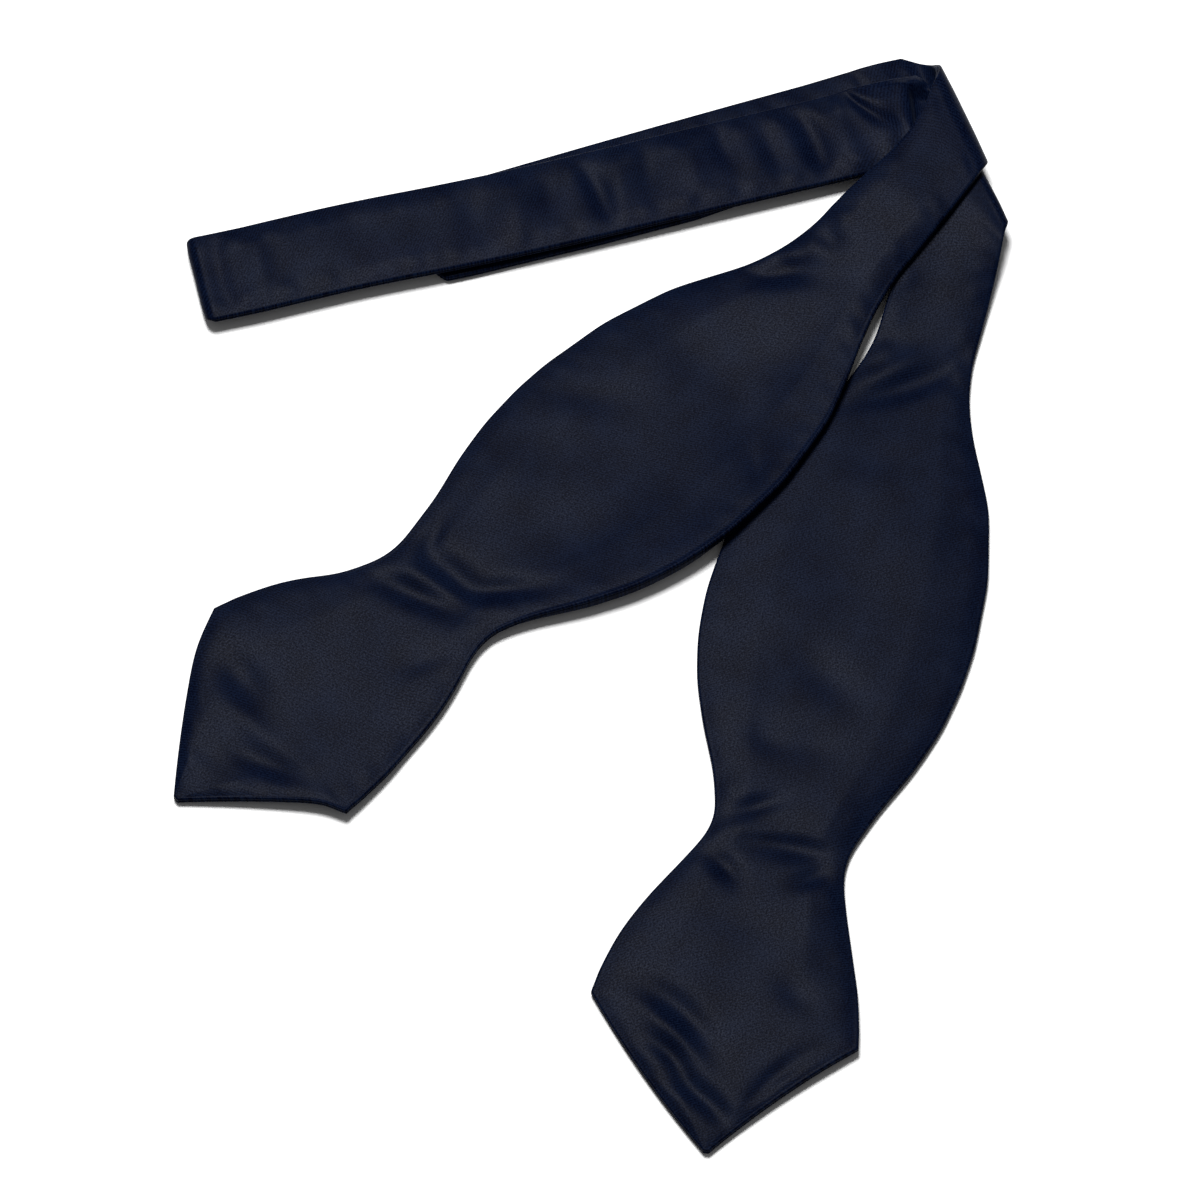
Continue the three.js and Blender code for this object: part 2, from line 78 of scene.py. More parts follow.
# Both halves. Band rows run from the centre back to the crease and blade rows from the crease to the tip.
# heading: share of the way, degrees. skew: share, degrees from square. lift: share, then how many layers
# the left edge, the middle and the right edge lie above the table. crown: the two shares of the blade
# between which its upper side grows to its full puff.
UPPER = {
    "name": "upper_half",
    "band_length": 195.8,
    "blade_length": 290.2,
    "crease": -68.4,
    "band_level": 0,
    "blade_level": 3,
    "kink_at": 0.9,
    "crown": (0.04, 0.25),
    "band_heading": [
        (0, 13.5), (0.045, 13.5), (0.07, 15.8), (0.15, 15.3), (0.25, 12.5), (0.36, 19), (0.6, 18.4),
        (0.93, 17.5), (0.975, -16.5), (1, -16.5),
    ],
    "blade_heading": [
        (0, -120.3), (0.06, -120.3), (0.15, -128.3), (0.26, -131.6), (0.32, -136), (0.45, -136.3),
        (0.55, -142), (0.65, -140.5), (0.7, -134), (0.75, -134.5), (0.8, -145), (0.88, -144),
        (0.9, -137), (1, -133),
    ],
    "band_skew": [(0, 0), (0.9, 0), (0.975, 38.1), (1, 38.1)],
    "blade_skew": [(0, 38.1), (0.06, 38.1), (0.16, 0), (0.5, 0), (0.7, 5), (0.88, 7), (1, 7)],
    "band_lift": [(0, 0, 0, 0), (0.84, 0, 0, 0), (0.95, 0.4, 0.2, 0), (0.99, 0, 0, 0), (1, 0, 0, 0)],
    "blade_lift": [
        (0, 3, 3, 3), (0.07, 3, 3, 3), (0.14, 2.6, 2.7, 2.6), (0.18, 2, 2.1, 2),
        (0.23, 1.2, 1.4, 1.5), (0.28, 0.5, 0.8, 1.4), (0.33, 0, 0.3, 1.4), (0.38, 0, 0, 1.45),
        (0.5, 0, 0, 1.5), (0.6, 0, 0, 1.2), (0.7, 0.2, 0, 0.5), (0.8, 0, 0, 0.3), (0.9, 0, 0, 0.8),
        (1, 0, 0, 0),
    ],
}
LOWER = {
    "name": "lower_half",
    "band_length": 200.6,
    "blade_length": 293.3,
    "crease": -67,
    "band_level": 1,
    "blade_level": 2,
    "kink_at": 0.84,
    "crown": (0.15, 0.4),
    "band_heading": [
        (0, 13.5), (0.045, 13.5), (0.07, 15.8), (0.15, 15.3), (0.25, 12.5), (0.5, 15.4), (0.9, 15.2),
        (0.95, -33), (1, -33),
    ],
    "blade_heading": [
        (0, -101.5), (0.1, -101.5), (0.16, -105), (0.24, -107.2), (0.45, -105), (0.55, -102.2),
        (0.65, -105.2), (0.72, -108.3), (0.79, -106.8), (0.86, -102.5), (1, -94),
    ],
    "band_skew": [(0, 0), (0.84, 0), (0.95, 56), (1, 56)],
    "blade_skew": [(0, 56), (0.03, 56), (0.15, 0), (0.6, 0), (0.88, 2.5), (1, 2.5)],
    "band_lift": [(0, 1, 1, 1), (0.82, 1, 1, 1), (0.91, 1.5, 1.4, 1), (0.96, 1.2, 1.1, 1), (1, 1, 1, 1)],
    "blade_lift": [
        (0, 2, 2, 2), (0.06, 2, 2, 2), (0.11, 1.6, 1.4, 1.1), (0.16, 0.8, 0.5, 0.3), (0.21, 0, 0, 0),
        (0.8, 0, 0, 0), (0.9, 0, 0, 0.4), (1, 0, 0, 0),
    ],
}

# Creases of the upper side of the blades, in millimetres unless said: at (share from crease to tip),
# across (share of the half width, towards the left edge), turn (degrees from the centreline), half length,
# half width, depth (a ridge where it is negative), and bow, how far its ends bend towards the tip.
UPPER_CREASES = [
    (0.262, 0.62, 45, 9, 4.2, 1.7, 0),
    (0.212, 0.56, -80, 5, 3.2, 0.8, 0),
    (0.245, 0.05, 40, 7, 4.0, 0.3, 0),
    (0.479, 0.62, 50, 12, 5.0, 0.35, 0),
    (0.422, -0.80, -55, 6, 2.4, 0.6, 0),
    (0.672, 0.70, -39, 6, 3.0, 0.8, 0),
    (0.681, 0.14, 80, 9, 3.6, 1.2, 0),
    (0.655, -0.50, 38, 10, 3.2, 1.1, 0),
    (0.701, 0.17, 73, 15, 2.6, -0.35, 0),
    (0.719, 0.26, 67, 13, 3.6, 1.1, 0),
    (0.752, -0.50, 30, 7, 3.4, 0.4, 0),
    (0.890, 0.42, 85, 10, 3.8, 0.9, 0),
    (0.908, 0.10, 80, 9, 2.8, -0.35, 0),
    (0.918, -0.44, 65, 11, 3.6, 0.9, 0),
    (0.955, 0.30, 88, 7, 2.8, 0.4, 0),
]
LOWER_CREASES = [
    (0.250, 0.05, 52, 14, 3.4, 1.1, 2),
    (0.232, 0.30, 40, 8, 3.0, -0.4, 0),
    (0.330, 0.10, 70, 10, 6.0, 0.3, 0),
    (0.549, -0.05, -55, 10, 5.5, 0.5, 0),
    (0.614, 0.40, -60, 6, 4.5, 0.45, 0),
    (0.612, 0.05, 88, 8, 5.0, 0.4, 0),
    (0.683, 0.48, 56, 7, 2.6, 0.9, 0),
    (0.700, 0.00, 80, 13, 2.2, -0.5, -2),
    (0.707, -0.26, 88, 11, 4.2, 1.2, -2),
    (0.728, -0.62, 50, 6, 2.6, 0.9, 0),
    (0.743, 0.55, -65, 6, 2.8, 1.0, 2),
    (0.790, 0.10, 85, 10, 5.0, 0.3, 0),
    (0.841, -0.50, -50, 6, 4.0, 0.45, 0),
    (0.879, 0.34, -60, 11, 3.4, 1.1, 3),
    (0.900, 0.42, -58, 9, 2.2, -0.5, 2),
    (0.920, 0.52, -56, 8, 2.6, 1.0, 3),
    (0.957, 0.05, -50, 11, 3.0, 1.2, 4),
    (0.925, -0.72, 36, 14, 3.0, 0.8, -3),
    (0.950, -0.95, 38, 12, 2.4, -0.3, 0),
]

# Creases of the top of the neckband, with at the share from the centre back to the crease.
BAND_CREASES = [
    (0.02, 0.0, 90, 14, 2.4, 0.5, 0),
    (0.07, 0.1, 88, 12, 2.5, -0.25, 0),
    (0.10, 0.1, 84, 10, 4.0, 0.3, 0),
    (0.21, 0.2, 80, 9, 5.0, 0.25, 0),
    (0.355, 0.1, 84, 9, 5.0, 0.6, 0),
    (0.405, -0.1, 80, 9, 3.5, -0.35, 0),
    (0.455, 0.2, 82, 8, 3.5, 0.5, 0),
    (0.515, 0.0, 97, 11, 2.6, 0.9, 2),
    (0.545, 0.2, 80, 8, 2.5, -0.3, 0),
    (0.585, 0.2, 80, 8, 3.4, 0.6, 0),
    (0.640, 0.1, 90, 10, 3.6, -0.4, 0),
    (0.687, 0.3, 100, 8, 2.8, 0.6, 0),
    (0.745, 0.0, 96, 9, 3.0, 0.6, 0),
    (0.800, 0.0, 96, 12, 2.8, 1.3, 2),
    (0.840, -0.2, 90, 9, 3.2, -0.5, 0),
    (0.890, 0.5, 102, 8, 2.6, 0.9, 0),
]

# The pleat where the upper layer of the band turns towards its fold: its two ends over the table, how far
# its near side and its far lip rise, and how deep the hollow between them is. The ridge stands back from
# the wall that falls into the hollow, and the hollow starts a little below the top of the pleat.
PLEAT_TOP = (78.6, 149.8)
PLEAT_FOOT = (80.4, 134.5)
PLEAT_RIDGE = 1.5
PLEAT_RIDGE_BACK = 1.5
PLEAT_RIDGE_WIDTH = 4.5
PLEAT_LIP = 1.6
PLEAT_DEPTH = 2.2
PLEAT_HOLLOW_FROM = 0.5
PLEAT_HOLLOW_GROWS = 5
PLEAT_WALL_FROM = -0.4
PLEAT_WALL_WIDTH = 2.4
PLEAT_BAND_FROM = 100
PLEAT_BAND_GROWS = 20
PLEAT_FOLD_FADE = 3

# The puff of the cloth: how far the blades' upper side rises, how flat it stays towards the edges, and how
# much the top of the band rises. The depths in the crease tables are multiplied by CREASE_DEPTH. A ply gets
# no thinner than THINNEST, and comes to that softly.
CROWN = 0.9
CROWN_FLATNESS = 2.5
CROWN_FULLNESS = 1.3
BAND_PUFF = 0.35
BAND_PUFF_GROWS = 6
CREASE_DEPTH = 0.95
THINNEST = 0.3
THIN_SOFTNESS = 0.15

# The edges: the beads that the two plies make on either side of the edge seam, the thickness of a ply there,
# and how far in from the edge it is full.
RIM_WIDTH = 0.8
EDGE_PLY = 0.75
PILLOW = 5.0
SEAM_DEPTH_ANGLE = 50
SEAM_CLEARANCE = 0.03

# The belly under the right edge of the upper blade, which lies on the lower blade: how deep it is, the
# shares of the blade where it starts and ends and over which it grows and fades, and the share of the half
# width where it starts.
BELLY = 2.4
BELLY_FROM = 0.46
BELLY_GROWS = 0.05
BELLY_TO = 0.67
BELLY_FADES = 0.07
BELLY_INNER = 0.55
BELLY_ROUNDNESS = 0.7

# The small unevenness of the cloth: the lengths and heights of soft waves on the blades' upper side and on
# the other side, and of the ripples beside the edge seams.
WAVE_COUNT = 14
FACE_WAVES = (16, 42)
FACE_WAVE_HEIGHT = 0.13
BACK_WAVES = (14, 34)
BACK_WAVE_HEIGHT = 0.08
PUCKER_COUNT = 5
PUCKERS = (5, 13)
PUCKER_HEIGHT = 0.055
PUCKER_FROM_EDGE = 3.0
PUCKER_WIDTH = 2.6

# How closely the cloth is divided, in millimetres along and in columns across. Rows are finer from a little
# before the kink of the band to a little past the fold, and near the tip.
ROW_STEP = 1.25
FINE_ROW_STEP = 0.5
KINK_MARGIN = 2
FOLD_MARGIN = 1.2
TIP_FINE = 3
SEEN_COLUMNS = 64
RIM_COLUMNS = 9
INNER_COLUMNS = 12

# The steps of the tables' curves, how far they reach before the centre back and along the whole strip, and
# how softly they turn. The corner of the diamond stays sharp.
PATH_STEP = 0.25
PATH_BEFORE = 30
PATH_LONGEST = 520
SMOOTHING = 3.0
BAND_SMOOTHING = 1.0
LIFT_SMOOTHING = 2.0
CORNER_SHARP = 1
CORNER_SOFTENS = 8

# The camera of the photograph: degrees above the table, metres away, and its lens and sensor.
CAMERA_ELEVATION = 61.2
CAMERA_DISTANCE = 2.235
LENS = 268.2
SENSOR = 36.0


def share_along(stations, half, kind, column=1):
    """One column of a half's tables at stations along it, in millimetres from the centre back."""
    band = np.array(half["band_" + kind], float)
    blade = np.array(half["blade_" + kind], float)
    before = np.interp(stations / half["band_length"], band[:, 0], band[:, column])
    after = np.interp((stations - half["band_length"]) / half["blade_length"], blade[:, 0], blade[:, column])
    return before, after, stations < half["band_length"]


def smooth(values, width):
    """Values at every PATH_STEP, softened over a width in millimetres."""
    reach = int(3 * width / PATH_STEP)
    offsets = np.arange(-reach, reach + 1) * PATH_STEP
    kernel = np.exp(-0.5 * (offsets / width) ** 2)
    padded = np.concatenate([np.full(reach, values[0]), values, np.full(reach, values[-1])])
    return np.convolve(padded, kernel / kernel.sum(), mode="valid")


def half_width(from_tip):
    """Half the width of the strip at distances from the tip of the point."""
    knots = [(0, TIP_WIDTH), (POINT_LENGTH, DIAMOND_WIDTH)]
    legs = [
        (POINT_LENGTH, DIAMOND_WIDTH, WAIST_FROM_TIP, WAIST_WIDTH, CORNER_TO_WAIST),
        (WAIST_FROM_TIP, WAIST_WIDTH, BULGE_FROM_TIP, BULGE_WIDTH, WAIST_TO_BULGE),
        (BULGE_FROM_TIP, BULGE_WIDTH, BAND_FROM_TIP, BAND_WIDTH, BULGE_TO_BAND),
    ]
    for start, width, end, next_width, steps in legs:
        for way, done in steps[1:]:
            knots.append((start + way * (end - start), width + done * (next_width - width)))
    places, widths = np.array(knots, float).T
    grid = np.arange(0, PATH_LONGEST, PATH_STEP)
    curve = np.interp(grid, places, widths)
    soft = smooth(curve, SMOOTHING)
    past_corner = np.clip((grid - POINT_LENGTH - CORNER_SHARP) / CORNER_SOFTENS, 0, 1)
    return np.interp(from_tip, grid, curve + (soft - curve) * past_corner) / 2


class Half:
    """One half of the tie: places on its strip, given as s along it, w across it and h above its middle."""

    def __init__(self, data):
        self.data = data
        self.band = data["band_length"]
        self.length = data["band_length"] + data["blade_length"]
        self.grid = np.arange(-PATH_BEFORE, self.length + PATH_STEP, PATH_STEP)
        self.crease = math.radians(data["crease"])
        before, after, in_band = share_along(self.grid, data, "heading")
        before, after = smooth(before, BAND_SMOOTHING), smooth(after, SMOOTHING)
        self.heading = np.radians(np.where(in_band, before, 2 * data["crease"] - after))
        before, after, in_band = share_along(self.grid, data, "skew")
        before, after = smooth(before, BAND_SMOOTHING), smooth(after, SMOOTHING)
        self.skew = np.radians(np.where(in_band, before, after))
        self.lift = []
        for column in (1, 2, 3):
            before, after, in_band = share_along(self.grid, data, "lift", column)
            above = np.where(in_band, before - data["band_level"], after - data["blade_level"])
            self.lift.append(smooth(above, LIFT_SMOOTHING))
        middle = self.heading[:-1] + np.diff(self.heading) / 2
        middle = np.where(self.grid[1:] <= 0, 0.0, middle)
        steps = np.where(self.grid[1:] <= 0, 0.0, PATH_STEP)
        self.path_x = CENTRE_BACK[0] + np.concatenate([[0], np.cumsum(steps * np.cos(middle))])
        self.path_y = CENTRE_BACK[1] + np.concatenate([[0], np.cumsum(steps * np.sin(middle))])
        self.fold_radius = LAYER * (data["blade_level"] - data["band_level"]) / 2
        self.level = LAYER * data["band_level"] + STRIP / 2
        self.kink = data["kink_at"] * self.band
        self.kink_point = (self.read(self.path_x, self.kink), self.read(self.path_y, self.kink))
        self.kink_heading = self.read(self.heading, self.kink)
        self.crease_point = (self.read(self.path_x, self.band), self.read(self.path_y, self.band))

    def read(self, values, s):
        """A curve's values at places along the strip."""
        return np.interp(s, self.grid, values)

    def wide(self, s):
        """Half the width of the strip at places along it."""
        return half_width(self.length - s)

    def strap_inset(self, s):
        """How far the right edge of the band is drawn in, or comes out where it is negative."""
        if self.data["band_level"] > 0:
            return STRAP_INSET * ease(-s / BACK_TRAVEL)
        shoulder = STRAP_LENGTH + STRAP_STEP
        past, out = np.array(SHOULDER, float).T
        fade = -SHOULDER_OUTSET * np.interp((s - shoulder) / SHOULDER_FADE, past, out)
        step = ease((s - STRAP_LENGTH) / STRAP_STEP)
        return np.where(s > shoulder, fade, STRAP_INSET + (-SHOULDER_OUTSET * out[0] - STRAP_INSET) * step)

    def tuck(self, s):
        """How far the left edge of the upper blade is drawn in near its fold."""
        past, inward = np.array(TUCK, float).T
        return np.interp(s - self.band, past, inward) * (self.data["band_level"] == 0)

    def place(self, s, w, h, inset=0.0):
        """Places for arrays s, w and h of one shape, in millimetres. inset draws them in from the edges."""
        # Flat on the table, with the left edge cut straight between the kink and the fold.
        skew = self.read(self.skew, s)
        heading = self.read(self.heading, s)
        across = heading + math.pi / 2 + skew
        wide = self.wide(s) / np.cos(skew)
        px, py = self.read(self.path_x, np.maximum(s, 0)), self.read(self.path_y, np.maximum(s, 0))
        off = (py - self.kink_point[1]) * np.cos(self.kink_heading)
        off = off - (px - self.kink_point[0]) * np.sin(self.kink_heading)
        turn = np.sin(across - self.kink_heading)
        far = (BAND_WIDTH / 2 - off) / np.where(np.abs(turn) < 0.05, 0.05, turn)
        far = np.where((s >= self.kink) & (s <= self.band), far, 1e9)
        left = np.minimum(wide, far) - self.tuck(s)
        right = wide - self.strap_inset(s)
        reach = np.where(w < 0, w * right, w * left) - np.sign(w) * inset
        fx, fy = px + reach * np.cos(across), py + reach * np.sin(across)
        x, y, z = fx, fy, self.level + h

        # Turned under at the centre back.
        radius = BACK_RADIUS
        turned = np.maximum(-s, 0) / radius
        round_back = turned < math.pi
        back = np.where(round_back, -(radius + h) * np.sin(turned), np.maximum(-s, 0) - BACK_TRAVEL)
        x = np.where(s < 0, x + back * math.cos(self.heading[0]), x)
        y = np.where(s < 0, y + back * math.sin(self.heading[0]), y)
        z = np.where(s < 0, self.level - radius + (radius + h) * np.cos(np.minimum(turned, math.pi)), z)

        # Turned over at the crease.
        way = (math.cos(self.crease), math.sin(self.crease))
        out = (-way[1], way[0])
        cx, cy = fx - self.crease_point[0], fy - self.crease_point[1]
        past = cx * out[0] + cy * out[1]
        along = cx * way[0] + cy * way[1]
        over = (s >= self.band) & (past > 0)
        radius = self.fold_radius
        turned = np.minimum(np.maximum(past, 0) / radius, math.pi)
        reach = np.where(turned < math.pi, (radius - h) * np.sin(turned), math.pi * radius - past)
        x = np.where(over, self.crease_point[0] + along * way[0] + reach * out[0], x)
        y = np.where(over, self.crease_point[1] + along * way[1] + reach * out[1], y)
        z = np.where(over, self.level + radius - (radius - h) * np.cos(turned), z)

        # Lifted by what it lies on.
        edge = np.where(w > 0, self.read(self.lift[0], s), self.read(self.lift[2], s))
        mid = self.read(self.lift[1], s)
        z = z + LAYER * (mid + (edge - mid) * w * w)
        if self.data["band_level"] > 0:
            grown = np.clip((s - PLEAT_BAND_FROM) / PLEAT_BAND_GROWS, 0, 1)
            z = z + kink_pleat(x, y) * grown * np.clip((self.band - s) / PLEAT_FOLD_FADE, 0, 1)
        return x, y, z


def ease(share):
    """A soft step from 0 to 1 as the share goes from 0 to 1."""
    share = np.clip(share, 0, 1)
    return share * share * (3 - 2 * share)


def kink_pleat(x, y):
    """The pleat where the band's upper layer turns towards its fold: a ridge, a deep hollow and a lip."""
    ax, ay = PLEAT_TOP
    bx, by = PLEAT_FOOT
    length = math.hypot(bx - ax, by - ay)
    ux, uy = (bx - ax) / length, (by - ay) / length
    along = (x - ax) * ux + (y - ay) * uy
    right = (x - ax) * -uy + (y - ay) * ux
    ridge = PLEAT_RIDGE * np.exp(-((np.minimum(right, 0) + PLEAT_RIDGE_BACK) / PLEAT_RIDGE_WIDTH) ** 2)
    fallen = ease((along - PLEAT_HOLLOW_FROM) / PLEAT_HOLLOW_GROWS)
    inside = PLEAT_LIP - (PLEAT_LIP + PLEAT_DEPTH) * fallen
    into = ease((right - PLEAT_WALL_FROM) / PLEAT_WALL_WIDTH)
    return (ridge * (1 - into) + inside * into) * np.clip(along / 3 + 0.4, 0, 1)


def creases(rows, x, y, at_length, wide):
    """The depth of all the creases of a table at places x along a stretch and y across it."""
    depth = np.zeros_like(x)
    for at, across, turn, long, narrow, deep, bow in rows:
        dx, dy = x - at * at_length, y - across * np.interp(at * at_length, wide[0], wide[1])
        c, s = math.cos(math.radians(turn)), math.sin(math.radians(turn))
        u, v = dx * c + dy * s, dy * c - dx * s
        v = v - bow * (u / long) ** 2 * 0.5
        depth += CREASE_DEPTH * deep * np.exp(-((u / long) ** 2) - (v / narrow) ** 2)
    return depth


def undulation(x, y, seed, wavelengths, height):
    """A soft unevenness, made of waves in many directions."""
    rng = np.random.default_rng(seed)
    total = np.zeros_like(x)
    for _ in range(WAVE_COUNT):
        wave = rng.uniform(*wavelengths)
        angle, phase = rng.uniform(0, math.pi), rng.uniform(0, 2 * math.pi)
        total += np.sin(2 * math.pi * (x * math.cos(angle) + y * math.sin(angle)) / wave + phase)
    return height * total / math.sqrt(WAVE_COUNT)


def puckers(x, from_edge, seed):
    """Small ripples square to the edge seam, which die out a few millimetres in from it."""
    rng = np.random.default_rng(seed)
    total = np.zeros_like(x)
    for _ in range(PUCKER_COUNT):
        total += np.sin(2 * math.pi * x / rng.uniform(*PUCKERS) + rng.uniform(0, 2 * math.pi))
    fade = np.exp(-((from_edge - PUCKER_FROM_EDGE) / PUCKER_WIDTH) ** 2)
    return PUCKER_HEIGHT * total * fade


def thickness(half, side, s, w):
    """How far the outer surface of a ply stands from the middle of the strip, away from its rims."""
    wide = half.wide(s)
    x, y = s - half.band, w * wide
    blade = half.data["blade_length"]
    stretch = np.linspace(0, blade, 400)
    widths = (stretch, half_width(blade - stretch))
    at = x / blade
    inward = 1 - np.abs(w) ** CROWN_FLATNESS
    narrow = np.minimum(1, wide / (BAND_WIDTH / 2))
    soft = np.zeros_like(s)
    if side < 0:
        rows = UPPER_CREASES if half.data["band_level"] == 0 else LOWER_CREASES
        grows, full = half.data["crown"]
        soft += CROWN * ease((at - grows) / (full - grows))
        soft -= creases(rows, x, y, blade, widths) * (at > 0)
        waves = undulation(x, y, 3 + half.data["band_level"], FACE_WAVES, FACE_WAVE_HEIGHT)
        soft += waves * ease(at / full)
    else:
        soft += undulation(s, y, 8 + half.data["band_level"], BACK_WAVES, BACK_WAVE_HEIGHT)
        if half.data["band_level"] > 0:
            flat = (np.array([0, half.band]), np.array([BAND_WIDTH, BAND_WIDTH]) / 2)
            soft += BAND_PUFF * (at < 0) * np.clip(-at * 20, 0, 1) * np.clip(s / BAND_PUFF_GROWS, 0, 1)
            soft -= creases(BAND_CREASES, s, y, half.band, flat) * (at < 0)
    from_edge = wide * (1 - np.abs(w))
    soft += puckers(s, from_edge, 21 + int(side) + 4 * half.data["band_level"]) * narrow
    in_from_edge = np.clip(from_edge / PILLOW, 0, 1)
    pillow = EDGE_PLY + (PLY - EDGE_PLY) * np.sin(in_from_edge * math.pi / 2)
    spare = pillow - THINNEST + soft * np.minimum(inward * CROWN_FULLNESS, 1)
    spare = THIN_SOFTNESS * np.logaddexp(0, spare / THIN_SOFTNESS)
    thick = PLY_GAP / 2 + pillow + (THINNEST + spare - pillow) * narrow
    if side > 0 and half.data["band_level"] == 0:
        swell = np.clip((at - BELLY_FROM) / BELLY_GROWS, 0, 1) * np.clip((BELLY_TO - at) / BELLY_FADES, 0, 1)
        outward = np.clip((-w - BELLY_INNER) / (1 - BELLY_INNER), 0, 1)
        thick += BELLY * swell * outward ** BELLY_ROUNDNESS
    return thick


def rows_of(half):
    """Stations along a half, closest where the cloth turns over."""
    start = -BACK_TRAVEL - SEAM_FROM_BACK if half.data["band_level"] > 0 else SEAM_FROM_BACK + SEAM_GAP
    stations = [start]
    round_fold = math.pi * half.fold_radius / math.cos(half.read(half.skew, half.band))
    fold_end = half.band + round_fold * FOLD_MARGIN
    strap_end = STRAP_LENGTH + STRAP_STEP / 2
    while stations[-1] < half.length:
        s = stations[-1]
        turning = s < 1 or half.kink - KINK_MARGIN < s < fold_end
        fine = turning or abs(s - strap_end) < STRAP_STEP or s > half.length - TIP_FINE
        stations.append(s + (FINE_ROW_STEP if fine else ROW_STEP))
    stations[-1] = half.length
    corner = half.length - POINT_LENGTH
    nearest = min(range(len(stations)), key=lambda i: abs(stations[i] - corner))
    stations[nearest] = corner
    return np.array(stations)


def make_ply(half, name, side):
    """One ply as a closed mesh: its outer side with sewn rims, its inner side, and its ends."""
    s = rows_of(half)
    wide = half.wide(s)
    rim = np.minimum(RIM_WIDTH, 0.45 * wide)
    rings = []
    sunk = math.radians(SEAM_DEPTH_ANGLE)
    angles = np.linspace(-sunk, math.pi / 2, RIM_COLUMNS + 1)[:-1]

    def rim_points(sign):
        """The rounded rim of one edge, from the seam up to the outer side."""
        full = thickness(half, side, s, sign * (1 - rim / wide))
        base = (SEAM_CLEARANCE + math.sin(sunk) * full) / (1 + math.sin(sunk))
        for a in angles:
            inset = rim * (1 - math.cos(a))
            yield np.full_like(s, float(sign)), base + (full - base) * math.sin(a), inset

    left = list(rim_points(-1))
    right = list(rim_points(1))[::-1]
    middle = []
    for t in np.linspace(-1, 1, SEEN_COLUMNS):
        w = t * (1 - rim / wide)
        middle.append((w, thickness(half, side, s, w), np.zeros_like(s)))
    inner = []
    for t in np.linspace(1, -1, INNER_COLUMNS):
        inner.append((t * (1 - 0.5 * rim / wide), np.full_like(s, SEAM_CLEARANCE), np.zeros_like(s)))
    for w, h, inset in left + middle + right + inner:
        rings.append(np.stack(half.place(s, w, side * h, inset), axis=-1))
    size = len(rings)
    points = np.stack(rings, axis=1)
    points[..., 2] = np.maximum(points[..., 2], 0)
    across = np.stack([w * wide for w, _, _ in left + middle + right + inner], axis=1)
    count = len(s)

    faces = []
    index = np.arange(count * size).reshape(count, size)
    for i in range(size):
        j = (i + 1) % size
        a, b, c, d = index[:-1, i], index[:-1, j], index[1:, j], index[1:, i]
        faces.append(np.stack([a, b, c, d], axis=1) if side > 0 else np.stack([a, d, c, b], axis=1))
    quads = np.concatenate(faces)
    ends = [index[0, ::-1] if side > 0 else index[0], index[-1] if side > 0 else index[-1, ::-1]]

    mesh = bpy.data.meshes.new(name)
    shifted = (points.reshape(-1, 3) + np.array([SHIFT[0], SHIFT[1], 0])) * MM
    mesh.from_pydata(shifted.tolist(), [], quads.tolist() + [e.tolist() for e in ends])
    mesh.validate()
    mesh.shade_smooth()
    uv = mesh.uv_layers.new(name="cloth")
    along = np.repeat(s, size)
    flat = np.stack([along * MM, across.reshape(-1) * MM], axis=1)
    loops = np.empty(len(mesh.loops), dtype=np.int32)
    mesh.loops.foreach_get("vertex_index", loops)
    uv.data.foreach_set("uv", flat[loops].astype(np.float32).ravel())
    piece = bpy.data.objects.new(name, mesh)
    bpy.context.scene.collection.objects.link(piece)
    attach(piece, "root")
    return piece


